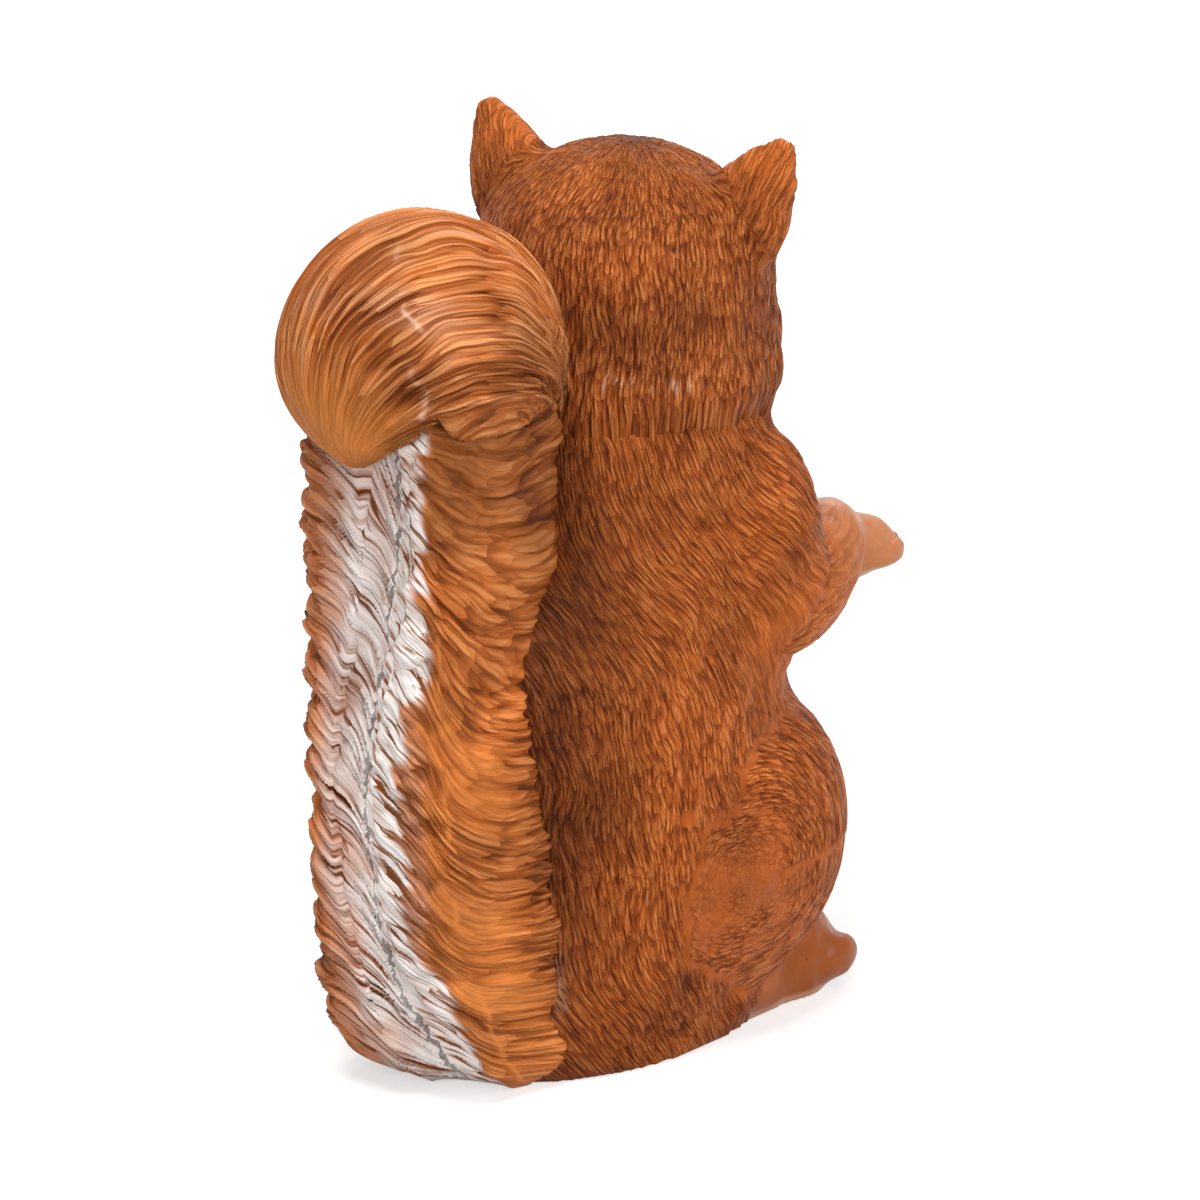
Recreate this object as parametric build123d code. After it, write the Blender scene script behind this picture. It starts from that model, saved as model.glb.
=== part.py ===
"""Painted cast-resin squirrel ornament, made of castings that are doweled and glued together.

The squirrel sits upright and faces -Y. Its right side is -X and +Z is up. The origin lies on the
floor, in the underside of the base plate, midway between the two haunches. Sizes are in millimetres.
"""
from build123d import *
from math import sqrt
import os

# Glue line between two castings, and play of dowels, shanks and plate in their seats
glue_line = 0.15
dowel_play = 0.15
dowel_end_room = 0.5

# Torso: half widths and half depths of its rounded cross-sections, from the floor to the neck
base_half_width = 33.5
base_half_depth = 47.5
hip_height = 16.0
hip_half_width = 36.5
hip_half_depth = 45.0
waist_height = 80.0
waist_half_width = 39.0
waist_half_depth = 44.0
chest_height = 103.0
chest_half_width = 37.0
chest_half_depth = 39.5
shoulder_height = 119.0
shoulder_half_width = 36.0
shoulder_half_depth = 33.0
neck_height = 136.0
neck_radius = 31.0
neck_y = 2.0
torso_y = 13.0
chest_y = 14.5
shoulder_y = 9.0
torso_wall = 6.0

# Haunches and upper arms, which are cast in one with the torso
haunch_x = 26.0
haunch_y = -4.0
haunch_height = 42.0
haunch_half_width = 19.5
haunch_half_depth = 31.0
haunch_half_height = 33.0
upper_arm_x = 29.0
upper_arm_y = -7.0
upper_arm_height = 106.0
upper_arm_half_width = 12.0
upper_arm_half_depth = 17.0
upper_arm_half_height = 26.0

# Base plate, let into a rebate under the hollow torso
plate_thickness = 5.0
plate_ledge = 2.5

# Head, measured up from the neck face and forward from the neck's middle
head_turn = 15.0
head_tilt = -2.5
jowl_half_width = 33.0
jowl_half_depth = 31.5
cranium_height = 26.5
cranium_half_width = 32.0
cranium_half_depth = 31.5
cranium_half_height = 28.0
dome_levels = (0, 0.34, 0.62, 0.84, 0.95, 0.995)
muzzle_forward = 39.0
muzzle_height = 13.5
muzzle_half_width = 9.5
muzzle_length = 8.5
muzzle_half_height = 7.5
cheek_x = 15.0
cheek_forward = 14.0
cheek_height = 14.0
cheek_radius = 14.5
chin_forward = 33.0
chin_height = 8.5
chin_radius = 7.0
face_forward = 22.0
face_height = 20.0
face_half_width = 16.0
face_length = 25.0
face_half_height = 13.5
face_droop = 14.0

# Ears: tapered flaps that lean outwards, hollowed at the front
ear_root_x = 22.0
ear_root_height = 33.0
ear_tip_x = 35.0
ear_tip_height = 58.0
ear_tip_forward = 3.0
ear_half_width = 10.5
ear_half_thickness = 6.0
ear_tip_half_width = 1.8
ear_hollow_depth = 3.0
ear_fullness = ((0, 0.6), (0.35, 1), (0.7, 0.62), (0.9, 0.25), (1, 0))

# Glass eyes on a shank, set by a direction out of the cranium's middle
eye_radius = 5.2
eye_sink = 2.2
eye_side = 0.72
eye_front = 0.66
eye_up = 0.2
shank_radius = 1.5
shank_length = 7.0

# Forearms and paws
elbow_x = 33.0
elbow_y = -10.0
elbow_height = 89.5
wrist_x = 20.0
wrist_y = -43.0
wrist_height = 100.0
forearm_radius = 11.0
forearm_overhang = 9.0
paw_reach = 8.0
paw_drop = 4.5
palm_half_width = 7.5
palm_half_length = 12.0
palm_half_height = 9.0
finger_count = 4
finger_pitch = 3.6
finger_radius = 2.6
finger_half_length = 7.0
finger_reach = 12.0
finger_drop = 8.5

# Hind feet
foot_x = 23.0
foot_y = -10.0
foot_half_width = 11.5
foot_half_length = 31.0
foot_top = 20.0
foot_ankle = 5.0
toe_count = 4
toe_pitch = 4.6
toe_radius = 4.2
toe_half_length = 8.5
toe_reach = 23.5

# Tail: an upright trunk with a winding groove and notched rims at its rear, and a curl seated on top.
# The groove's run gives, from the floor up, shares of the trunk's height and of its half width.
trunk_y = 60.0
trunk_height = 149.0
trunk_half_width = 19.0
trunk_half_depth = 22.0
trunk_corner = 8.0
trunk_foot_half_width = 14.5
trunk_foot_half_depth = 11.0
trunk_foot_height = 42.0
trunk_foot_y = 54.0
trunk_foot_levels = (0, 0.25, 0.55, 1)
groove_half_width = 6.0
groove_depth = 4.5
groove_run = (
    (0, -0.65),
    (0.13, -0.38),
    (0.3, 0.03),
    (0.42, 0.13),
    (0.54, 0.04),
    (0.66, -0.22),
    (0.8, -0.42),
    (1, -0.45),
)
rim_notch_depth = 2.8
rim_notch_reach = 4.0
rim_notch_length = 26.0
rim_notch_pitch = 11.0
rim_notch_low = 19.0
rim_notch_count = 12
curl_x = -2.3
curl_back = 5.0
curl_rise = 7.5
curl_half_width = 27.0
curl_half_depth = 30.0
curl_half_height = 28.7

# Dowels
neck_dowel_radius = 5.0
neck_dowel_length = 22.0
tail_dowel_radius = 3.0
tail_dowel_length = 22.0
tail_dowel_low = 30.0
tail_dowel_high = 94.0
curl_dowel_length = 20.0
arm_dowel_radius = 2.5
arm_dowel_length = 18.0
arm_dowel_along = 0.36
foot_dowel_radius = 2.5
foot_dowel_length = 16.0
foot_dowel_height = 8.0
foot_dowel_y = -20.0

BIG = 4 * neck_height
SIDES = {"right": -1, "left": 1}


def ellipsoid(centre, half_sizes):
    """A large rounded form, such as a haunch."""
    return Pos(*centre) * scale(Sphere(1), by=half_sizes)


def digit(centre, half_sizes):
    """A long rounded form that points forward, such as a finger, with its poles at its ends."""
    half_width, half_length, half_height = half_sizes
    return Pos(*centre) * Rot(X=90) * scale(Sphere(1), by=(half_width, half_height, half_length))


def rod(radius, length, middle, direction):
    """A round rod of the given length, centred on middle and lying along direction."""
    return Plane(origin=middle, z_dir=direction) * Cylinder(radius, length)


def dowel_and_hole(radius, length, middle, direction):
    dowel = rod(radius, length, middle, direction)
    hole = rod(radius + dowel_play, length + 2 * dowel_end_room, middle, direction)
    return dowel, hole


def above(height):
    return Pos(0, 0, height + BIG / 2) * Box(BIG, BIG, BIG)


def torso_sections(grow):
    """Level, middle, half width and half depth of the torso, swollen by grow."""
    levels = [
        (0, torso_y, base_half_width, base_half_depth),
        (hip_height, torso_y, hip_half_width, hip_half_depth),
        (waist_height, torso_y, waist_half_width, waist_half_depth),
        (chest_height, chest_y, chest_half_width, chest_half_depth),
        (shoulder_height, shoulder_y, shoulder_half_width, shoulder_half_depth),
    ]
    return [Pos(0, y, z) * Ellipse(w + grow, d + grow) for z, y, w, d in levels]


def torso_form(grow):
    """Torso with haunches and upper arms as one form, swollen by grow where a glue line is needed."""
    neck = Pos(0, neck_y, neck_height) * Ellipse(neck_radius + grow, neck_radius + grow)
    form = loft(torso_sections(grow) + [neck])
    for side in SIDES.values():
        haunch = ellipsoid(
            (side * haunch_x, haunch_y, haunch_height),
            (haunch_half_width + grow, haunch_half_depth + grow, haunch_half_height + grow),
        )
        upper_arm = ellipsoid(
            (side * upper_arm_x, upper_arm_y, upper_arm_height),
            (upper_arm_half_width + grow, upper_arm_half_depth + grow, upper_arm_half_height + grow),
        )
        form = form + haunch + upper_arm
    return form


def torso_hollow():
    """Inside of the slush-cast torso, closed below the shoulders and open at the floor."""
    hollow = loft(torso_sections(-torso_wall)) & above(plate_thickness)
    rebate = Pos(0, torso_y) * extrude(
        Ellipse(
            base_half_width - torso_wall + plate_ledge + dowel_play,
            base_half_depth - torso_wall + plate_ledge + dowel_play,
        ),
        plate_thickness,
    )
    return hollow + rebate


def base_plate_form():
    return Pos(0, torso_y) * extrude(
        Ellipse(
            base_half_width - torso_wall + plate_ledge,
            base_half_depth - torso_wall + plate_ledge,
        ),
        plate_thickness,
    )


def ear_form(side):
    """One ear: a leaf-shaped flap from inside the cranium to the tip, hollowed on its front face."""
    root = Vector(side * ear_root_x, 0, ear_root_height)
    tip = Vector(side * ear_tip_x, -ear_tip_forward, ear_tip_height)
    lean = Plane(origin=root, x_dir=(1, 0, -lean_slope(root, tip)), z_dir=tip - root)
    length = (tip - root).length
    flap = loft([
        lean * Pos(0, 0, length * along) * Ellipse(
            ear_tip_half_width + (ear_half_width - ear_tip_half_width) * fullness,
            ear_tip_half_width + (ear_half_thickness - ear_tip_half_width) * fullness,
        )
        for along, fullness in ear_fullness
    ])
    hollow = lean * Pos(0, -ear_half_thickness, length / 2) * scale(
        Sphere(1), by=(ear_half_width / 2, ear_hollow_depth, length / 3)
    )
    return flap - hollow


def lean_slope(root, tip):
    """Slope that keeps an ear's width at right angles to its length, seen from behind."""
    return (tip.X - root.X) / (tip.Z - root.Z)


os.makedirs("parts", exist_ok=True)
nodes = {}

# Glue faces and the rods across them
neck_face = Vector(0, neck_y, neck_height)
neck_dowel, neck_hole = dowel_and_hole(neck_dowel_radius, neck_dowel_length, neck_face, (0, 0, 1))
back_y = torso_y + waist_half_depth
tail_rods = [
    dowel_and_hole(tail_dowel_radius, tail_dowel_length, (0, back_y, height), (0, 1, 0))
    for height in (tail_dowel_low, tail_dowel_high)
]
curl_dowel, curl_hole = dowel_and_hole(
    tail_dowel_radius, curl_dowel_length, (0, trunk_y, trunk_height), (0, 0, 1)
)
elbow = Vector(-elbow_x, elbow_y, elbow_height)
wrist = Vector(-wrist_x, wrist_y, wrist_height)
forearm_run = wrist - elbow
arm_dowel, arm_hole = dowel_and_hole(
    arm_dowel_radius, arm_dowel_length, elbow + forearm_run * arm_dowel_along, forearm_run
)
foot_dowel, foot_hole = dowel_and_hole(
    foot_dowel_radius, foot_dowel_length, (-foot_x, foot_dowel_y, foot_dowel_height), (0, 1, 0)
)

# Hollow torso casting
swollen_torso = torso_form(glue_line)
body_shell = torso_form(0) & above(0)
body_shell -= torso_hollow()
body_shell -= neck_hole
for dowel, hole in tail_rods:
    body_shell -= hole
for hole in (arm_hole, foot_hole):
    body_shell -= hole
    body_shell -= mirror(hole, about=Plane.YZ)
nodes["body_shell"] = body_shell
nodes["base_plate"] = base_plate_form()
nodes["neck_dowel"] = neck_dowel
nodes["tail_dowels"] = Compound([dowel for dowel, hole in tail_rods])
nodes["arm_dowels"] = Compound([arm_dowel, mirror(arm_dowel, about=Plane.YZ)])
nodes["foot_dowels"] = Compound([foot_dowel, mirror(foot_dowel, about=Plane.YZ)])
nodes["curl_dowel"] = curl_dowel

# Head casting with its ears and eye sockets
turned = Pos(neck_face) * Rot(Z=head_turn)
tilted = turned * Pos(0, 0, cranium_height) * Rot(Y=head_tilt) * Pos(0, 0, -cranium_height)
skull_sections = [
    Ellipse(neck_radius, neck_radius),
    Pos(0, 0, cranium_height / 2) * Ellipse(jowl_half_width, jowl_half_depth),
]
for share in dome_levels:
    fullness = sqrt(1 - share ** 2)
    skull_sections.append(
        Pos(0, 0, cranium_height + cranium_half_height * share)
        * Ellipse(cranium_half_width * fullness, cranium_half_depth * fullness)
    )
head = turned * loft(skull_sections)
for name, side in SIDES.items():
    spot = Vector(side * eye_side, -eye_front, eye_up).normalized()
    surface = Vector(
        spot.X * cranium_half_width,
        spot.Y * cranium_half_depth,
        cranium_height + spot.Z * cranium_half_height,
    )
    seat = tilted * Plane(origin=surface - spot * eye_sink, z_dir=spot).location
    shank, shank_hole = dowel_and_hole(shank_radius, shank_length, (0, 0, -shank_length / 2), (0, 0, 1))
    dome = Sphere(eye_radius) & above(0)
    socket = extrude(Circle(eye_radius + dowel_play), 2 * eye_radius)
    nodes[f"{name}_eye"] = seat * (dome + shank)
    head = head - seat * socket - seat * shank_hole
head += tilted * Pos(0, -face_forward, face_height) * Rot(X=face_droop) * scale(
    Sphere(1), by=(face_half_width, face_length, face_half_height)
)
head += tilted * ellipsoid(
    (0, -muzzle_forward, muzzle_height), (muzzle_half_width, muzzle_length, muzzle_half_height)
)
head += tilted * ellipsoid((0, -chin_forward, chin_height), (chin_radius, chin_radius, chin_radius))
for side in SIDES.values():
    head += tilted * ellipsoid(
        (side * cheek_x, -cheek_forward, cheek_height), (cheek_radius, cheek_radius, cheek_radius)
    )
    head += tilted * ear_form(side)
head &= above(neck_height)
head -= neck_hole
nodes["head_casting"] = head


def trunk_section(height):
    """Middle, half width and half depth of the tail trunk, which rounds in towards the floor."""
    share = min(height / trunk_foot_height, 1)
    swell = sqrt(1 - (1 - share) ** 2)
    return (
        trunk_foot_y + (trunk_y - trunk_foot_y) * swell,
        trunk_foot_half_width + (trunk_half_width - trunk_foot_half_width) * swell,
        trunk_foot_half_depth + (trunk_half_depth - trunk_foot_half_depth) * swell,
    )


def trunk_outline(height):
    y, half_width, half_depth = trunk_section(height)
    return Pos(0, y, height) * RectangleRounded(2 * half_width, 2 * half_depth, trunk_corner)


def trunk_groove():
    """Cutter for the groove that winds up the trunk's rear."""
    sections = []
    for height_share, side_share in groove_run:
        y, half_width, half_depth = trunk_section(height_share * trunk_height)
        middle = Pos(side_share * half_width, y + half_depth, height_share * trunk_height)
        sections.append(middle * Ellipse(groove_half_width, groove_depth))
    return loft(sections)


def rim_notch(side, height):
    """Cutter for one V-shaped notch between two tufts, square across a rear corner of the trunk."""
    y, half_width, half_depth = trunk_section(height)
    corner = trunk_corner * (1 - sqrt(0.5)) - (rim_notch_reach - rim_notch_depth) * sqrt(0.5)
    middle = (side * (half_width - corner), y + half_depth - corner, height)
    bar = Plane(origin=middle, x_dir=(0, 0, 1), z_dir=(side, -1, 0)) * Rot(Z=45)
    return bar * Box(rim_notch_reach * sqrt(2), rim_notch_reach * sqrt(2), rim_notch_length)


# Tail trunk, trimmed to the torso's back
trunk_foot = loft([trunk_outline(share * trunk_foot_height) for share in trunk_foot_levels])
tail_trunk = trunk_foot + extrude(trunk_outline(trunk_foot_height), trunk_height - trunk_foot_height)
tail_trunk -= trunk_groove()
for notch in range(rim_notch_count):
    for side in SIDES.values():
        tail_trunk -= rim_notch(side, rim_notch_low + notch * rim_notch_pitch)
tail_trunk = tail_trunk - swollen_torso - curl_hole
for dowel, hole in tail_rods:
    tail_trunk -= hole
nodes["tail_trunk"] = tail_trunk

# Curl, seated on the trunk's top face with its rear hanging down behind the trunk
trunk_rear = trunk_y + trunk_half_depth + glue_line
room_for_trunk = Pos(0, trunk_rear - BIG / 2, trunk_height - BIG / 2) * Box(BIG, BIG, BIG)
curl_lobe = ellipsoid(
    (curl_x, trunk_y + curl_back, trunk_height + curl_rise),
    (curl_half_width, curl_half_depth, curl_half_height),
)
nodes["tail_curl"] = curl_lobe - room_for_trunk - curl_hole

# Forearms with paws, trimmed to the upper arms
limb = Plane(origin=elbow + forearm_run / 2, x_dir=(0, 0, 1), z_dir=forearm_run)
forearm = limb * scale(
    Sphere(1), by=(forearm_radius, forearm_radius, forearm_run.length / 2 + forearm_overhang)
)
forearm += digit(
    (wrist.X, wrist.Y - paw_reach, wrist.Z - paw_drop),
    (palm_half_width, palm_half_length, palm_half_height),
)
for finger in range(finger_count):
    across = (finger - (finger_count - 1) / 2) * finger_pitch
    forearm += digit(
        (wrist.X + across, wrist.Y - finger_reach, wrist.Z - finger_drop),
        (finger_radius, finger_half_length, finger_radius),
    )
right_forearm = forearm - swollen_torso - arm_hole
nodes["right_forearm"] = right_forearm
nodes["left_forearm"] = mirror(right_forearm, about=Plane.YZ)

# Hind feet, trimmed to the torso and cut flat at the floor
foot = digit(
    (-foot_x, foot_y, foot_ankle), (foot_half_width, foot_half_length, foot_top - foot_ankle)
)
for toe in range(toe_count):
    across = (toe - (toe_count - 1) / 2) * toe_pitch
    foot += digit(
        (-foot_x + across, foot_y - toe_reach, foot_ankle),
        (toe_radius, toe_half_length, toe_radius),
    )
right_foot = (foot & above(0)) - swollen_torso - foot_hole
nodes["right_foot"] = right_foot
nodes["left_foot"] = mirror(right_foot, about=Plane.YZ)

for name, solid in nodes.items():
    solids = solid.solids()
    print(name, len(solids), round(solid.volume), solid.is_valid)
    export_step(Compound(solids), f"parts/{name}.step")
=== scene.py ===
import math

import bmesh
import bpy
import numpy as np
from mathutils import Matrix, Vector
from mathutils.bvhtree import BVHTree


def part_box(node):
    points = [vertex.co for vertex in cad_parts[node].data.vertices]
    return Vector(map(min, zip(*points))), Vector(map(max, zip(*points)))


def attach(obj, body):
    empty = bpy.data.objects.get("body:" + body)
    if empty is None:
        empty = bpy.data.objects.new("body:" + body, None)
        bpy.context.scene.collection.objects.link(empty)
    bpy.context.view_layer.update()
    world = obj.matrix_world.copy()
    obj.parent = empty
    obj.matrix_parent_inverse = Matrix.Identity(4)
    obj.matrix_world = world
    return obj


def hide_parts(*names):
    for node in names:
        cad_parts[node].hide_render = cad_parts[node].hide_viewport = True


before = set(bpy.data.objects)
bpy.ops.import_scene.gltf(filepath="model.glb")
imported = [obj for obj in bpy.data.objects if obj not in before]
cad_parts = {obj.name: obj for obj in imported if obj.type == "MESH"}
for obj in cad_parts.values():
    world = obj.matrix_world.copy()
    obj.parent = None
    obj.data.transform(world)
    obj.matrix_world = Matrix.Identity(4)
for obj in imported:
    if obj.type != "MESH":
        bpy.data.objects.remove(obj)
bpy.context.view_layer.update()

# Torso casting: hollow polyresin poured in a rubber mould, with haunches and upper arms in one piece.
# The sculptor combed the hair into the clay with a wire tool, down the back and in arcs over the
# haunches. The cast is sprayed rust brown, and the brush leaves the cuts between the hairs darker.
TORSO_GRAIN = 0.00082
TORSO_TOP = 142
TORSO_RIM_HEIGHT = 2.5
NECK_FACE_HEIGHT = 133.5
TORSO_MIDDLE_Y = 13.0
TORSO_GIRTH_RADIUS = 40.0
HAIR_LEAN_HEIGHTS = (0, 10, 28, 55, 80, 95, 108, 122, 134, 142)
HAIR_LEANS = (0.9, 0.7, 0.3, 0.1, 0.25, 0.7, 0.9, 0.5, 0.2, 0.05)
HAUNCH_MIDDLE = (26.0, -4.0, 42.0)
HAUNCH_HALF = (19.5, 31.0, 33.0)
HAUNCH_WHORL = (9.0, 39.0)
HAUNCH_COMBING = 500
WORN_PATCH = (-41.5, 9.0, 38.0)
WORN_HALF = (9, 15, 12)
CAST_PITS = (
    (-34.1, 19.9, 6.7, 1.7),
    (-32.6, 29.5, 8.8, 1.5),
    (-34.4, 24.0, 6.2, 1.2),
    (-36.2, 20.8, 17.3, 3.0),
)
PIT_DEPTH = 1.4
ARM_FILLER = 4.2
FOOT_FILLER = 2.4
ARM_SPRAY_REACH = 9


def casting_skin(name, node, grain, rounds, held, fills=0, stops=()):
    """An even skin of fine faces over a casting, its corners softened as in clay."""
    solid = bmesh.new()
    solid.from_mesh(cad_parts[node].data)
    for stop, lift in stops:
        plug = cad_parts[stop].data.copy()
        plug.transform(Matrix.Translation((0, 0, lift)))
        solid.from_mesh(plug)
        bpy.data.meshes.remove(plug)
    bmesh.ops.remove_doubles(solid, verts=solid.verts, dist=1e-6)
    mesh = bpy.data.meshes.new(name)
    solid.to_mesh(mesh)
    solid.free()
    piece = bpy.data.objects.new(name, mesh)
    bpy.context.scene.collection.objects.link(piece)
    skin = piece.modifiers.new("skin", "REMESH")
    skin.mode = "VOXEL"
    skin.voxel_size = grain
    view = bpy.context.evaluated_depsgraph_get()
    piece.data = bpy.data.meshes.new_from_object(piece.evaluated_get(view))
    piece.modifiers.clear()
    rub_down(piece, rounds, held)
    piece.data.polygons.foreach_set("use_smooth", [True] * len(piece.data.polygons))
    for _ in range(fills):
        thumb_clay(piece)
    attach(piece, "root")
    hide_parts(node)
    return piece


def rub_down(piece, rounds, held):
    """Softens a skin round after round; held says which places, in millimetres, stay as they are."""
    clay = bmesh.new()
    clay.from_mesh(piece.data)
    loose = [point for point in clay.verts if not held(point.co * 1000)]
    for _ in range(rounds):
        bmesh.ops.smooth_vert(
            clay, verts=loose, factor=0.5, use_axis_x=True, use_axis_y=True, use_axis_z=True
        )
    clay.to_mesh(piece.data)
    clay.free()


def paint_over(piece, paint):
    """Gives a piece one paint all over."""
    piece.data.materials.clear()
    piece.data.materials.append(paint)


def skin_points(piece):
    """Places in millimetres and outward directions of a skin's points."""
    mesh = piece.data
    places = np.empty(len(mesh.vertices) * 3)
    outward = np.empty(len(mesh.vertices) * 3)
    mesh.vertices.foreach_get("co", places)
    mesh.vertex_normals.foreach_get("vector", outward)
    return places.reshape(-1, 3) * 1000, outward.reshape(-1, 3)


def thumb_clay(piece, strokes=12, press=0.7):
    """Presses a little clay into the inner corners of a skin; its outer edges stay as they are."""
    mesh = piece.data
    ends = np.empty(len(mesh.edges) * 2, np.int32)
    mesh.edges.foreach_get("vertices", ends)
    first, second = ends.reshape(-1, 2).T
    count = np.bincount(ends, minlength=len(mesh.vertices))
    places, outward = skin_points(piece)
    for _ in range(strokes):
        middle = np.stack([
            np.bincount(first, axis[second], len(count)) + np.bincount(second, axis[first], len(count))
            for axis in places.T
        ], 1) / count[:, None]
        hollow = np.sum((middle - places) * outward, axis=1)
        places = places + outward * np.maximum(press * hollow, 0)[:, None]
    mesh.vertices.foreach_set("co", (places / 1000).ravel())
    mesh.update()


def putty(places, node, reach):
    """Share of filler in the crease against a neighbour: 1 at the glue line, 0 two reaches away."""
    near = bmesh.new()
    near.from_mesh(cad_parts[node].data)
    neighbour = BVHTree.FromBMesh(near)
    near.free()
    box_low, box_high = (np.array(corner) * 1000 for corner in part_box(node))
    close = np.all((places > box_low - 2 * reach) & (places < box_high + 2 * reach), axis=1)
    share = np.zeros(len(places))
    for row in np.flatnonzero(close):
        gap = neighbour.find_nearest(Vector(places[row] / 1000), 2 * reach / 1000)[3]
        if gap is not None:
            share[row] = math.exp(-((gap * 1000 / reach) ** 2))
    return share


def cell_chance(cells, seed):
    """A fixed random number from 0 to 1 for each whole-numbered cell."""
    start, stir, last_stir = 1469598103934665603, 1099511628211, 11400714819323198485
    mixed = np.full(len(cells), start + seed, np.uint64)
    for column in cells.T:
        mixed = (mixed ^ column.astype(np.int64).astype(np.uint64)) * np.uint64(stir)
        mixed = mixed ^ (mixed >> np.uint64(31))
    mixed = mixed * np.uint64(last_stir)
    return (mixed >> np.uint64(40)) / 2.0 ** 24


def drift(points, seed):
    """Smooth random heights from -1 to 1; points are counted in cells."""
    low = np.floor(points)
    part = points - low
    part = part * part * (3 - 2 * part)
    total = np.zeros(len(points))
    for corner in np.ndindex(*(2,) * points.shape[1]):
        weight = np.prod(np.where(corner, part, 1 - part), axis=1)
        total += weight * cell_chance(low + corner, seed)
    return 2 * total - 1


def cuts(across, along, seed):
    """Strokes of the wire tool: 1 in the bed of a stroke, 0 on the hair beside it; counted in cells."""
    spot = np.stack([across, along], 1)
    low = np.floor(spot)
    bed = np.zeros(len(spot))
    for step in np.ndindex(3, 3):
        cell = low + np.array(step) - 1
        middle = cell + np.stack([cell_chance(cell, seed), cell_chance(cell, seed + 1)], 1)
        size = 0.55 + 0.45 * cell_chance(cell, seed + 2)
        off = (spot - middle) / np.stack([0.4 * size, 0.95 * size], 1)
        bed = np.maximum(bed, size * (1 - np.sum(off * off, axis=1)))
    return bed


def hairs(across, along, seed):
    """Long hairs lying side by side: 1 on their backs, 0 in the seams between; counted in cells."""
    back = np.abs(drift(np.stack([across, along], 1), seed))
    return np.minimum(back / 0.45, 1)


def ramp(value, low, high):
    """Soft step from 0 at low to 1 at high."""
    share = np.clip((value - low) / (high - low), 0, 1)
    return share * share * (3 - 2 * share)


def carve(piece, places, outward, relief, **marks):
    """Moves the skin by relief, in millimetres, never into the ground; keeps marks for the paint."""
    mesh = piece.data
    carved = (places + outward * relief[:, None]) / 1000
    carved[:, 2] = np.maximum(carved[:, 2], 0)
    mesh.vertices.foreach_set("co", carved.ravel())
    for name, values in marks.items():
        kind = "FLOAT_VECTOR" if values.ndim == 2 else "FLOAT"
        field = "vector" if values.ndim == 2 else "value"
        mark = mesh.attributes.new(name, kind, "POINT")
        mark.data.foreach_set(field, values.astype(np.float32).ravel())
    mesh.update()


def paint_colour(*shades):
    """A paint as seen in daylight, from 0 to 255, in the shader's own scale."""
    return (*[((shade / 255 + 0.055) / 1.055) ** 2.4 for shade in shades], 1)


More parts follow.
